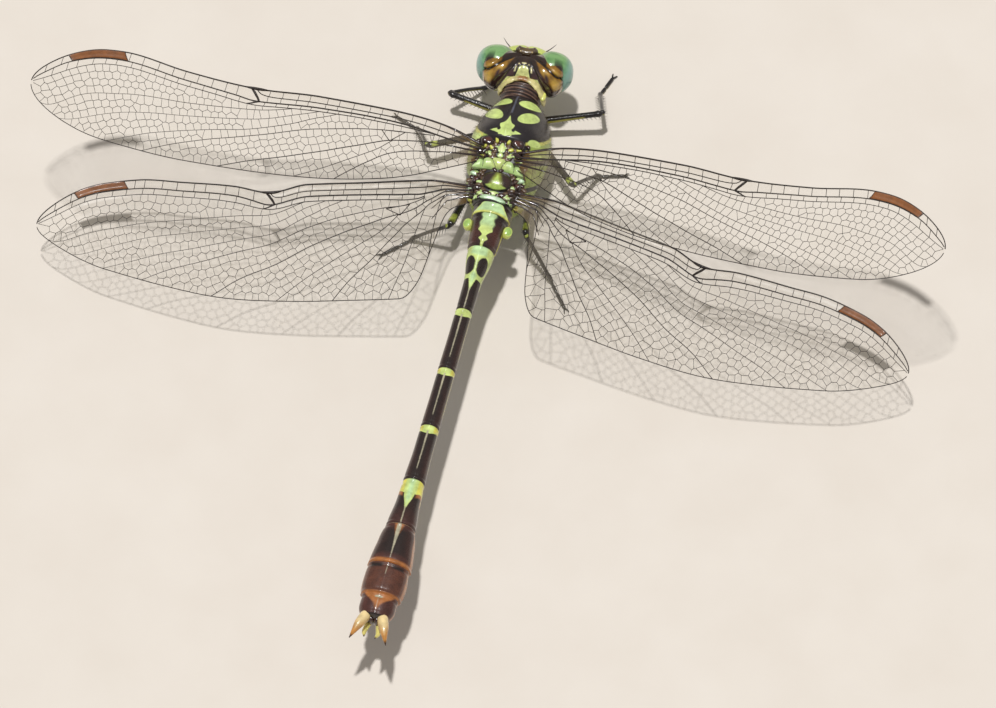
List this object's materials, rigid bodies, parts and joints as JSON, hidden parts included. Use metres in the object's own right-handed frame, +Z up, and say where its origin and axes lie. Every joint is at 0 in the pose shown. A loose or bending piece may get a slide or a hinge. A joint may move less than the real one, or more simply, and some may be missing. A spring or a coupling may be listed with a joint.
{
  "type": "clubtail dragonfly model",
  "caption": "Still, life-size model of a male clubtail dragonfly at rest: wings spread flat, slim tail with a club and claspers, standing on its feet.",
  "frame": {"origin": "on the floor, under the middle of the model's outer box", "axes": "+Z up, +Y towards the head, +X towards the animal's right wings"},
  "size_m": [0.0666, 0.0522, 0.0125],
  "materials": {
    "dark_shell": "satin black-brown chitin with lime green marks",
    "green_shell": "satin lime green chitin with black-brown marks",
    "brown_shell": "satin red-brown chitin",
    "ochre_shell": "glossy golden brown chitin with dark edges",
    "pale_shell": "satin pale ochre chitin",
    "leg_shell": "satin black chitin",
    "eye_lens": "glossy green compound eye",
    "wing_membrane": "clear film between dark veins"
  },
  "bodies": {
    "root": {"abdomen_s1": "dark_shell", "abdomen_s10": "brown_shell", "abdomen_s2": "dark_shell", "abdomen_s3": "dark_shell", "abdomen_s4": "dark_shell", "abdomen_s5": "dark_shell", "abdomen_s6": "dark_shell", "abdomen_s7": "dark_shell", "abdomen_s8": "dark_shell", "abdomen_s9": "brown_shell", "antenna_left": "dark_shell", "antenna_right": "dark_shell", "auricle_left": "green_shell", "auricle_right": "green_shell", "cercus_left": "pale_shell", "cercus_right": "pale_shell", "epiproct_left": "pale_shell", "epiproct_right": "pale_shell", "eye_left": "eye_lens", "eye_right": "eye_lens", "face": "green_shell", "head": "ochre_shell", "leg_front_left_femur": "leg_shell", "leg_front_left_tarsus": "leg_shell", "leg_front_left_tibia": "leg_shell", "leg_front_right_femur": "leg_shell", "leg_front_right_tarsus": "leg_shell", "leg_front_right_tibia": "leg_shell", "leg_hind_left_femur": "leg_shell", "leg_hind_left_tarsus": "leg_shell", "leg_hind_left_tibia": "leg_shell", "leg_hind_right_femur": "leg_shell", "leg_hind_right_tarsus": "leg_shell", "leg_hind_right_tibia": "leg_shell", "leg_middle_left_femur": "leg_shell", "leg_middle_left_tarsus": "leg_shell", "leg_middle_left_tibia": "leg_shell", "leg_middle_right_femur": "leg_shell", "leg_middle_right_tarsus": "leg_shell", "leg_middle_right_tibia": "leg_shell", "mouth": "green_shell", "prothorax": "dark_shell", "thorax": "green_shell", "wing_front_left": "wing_membrane", "wing_front_right": "wing_membrane", "wing_hind_left": "wing_membrane", "wing_hind_right": "wing_membrane"}
  },
  "joints": []
}
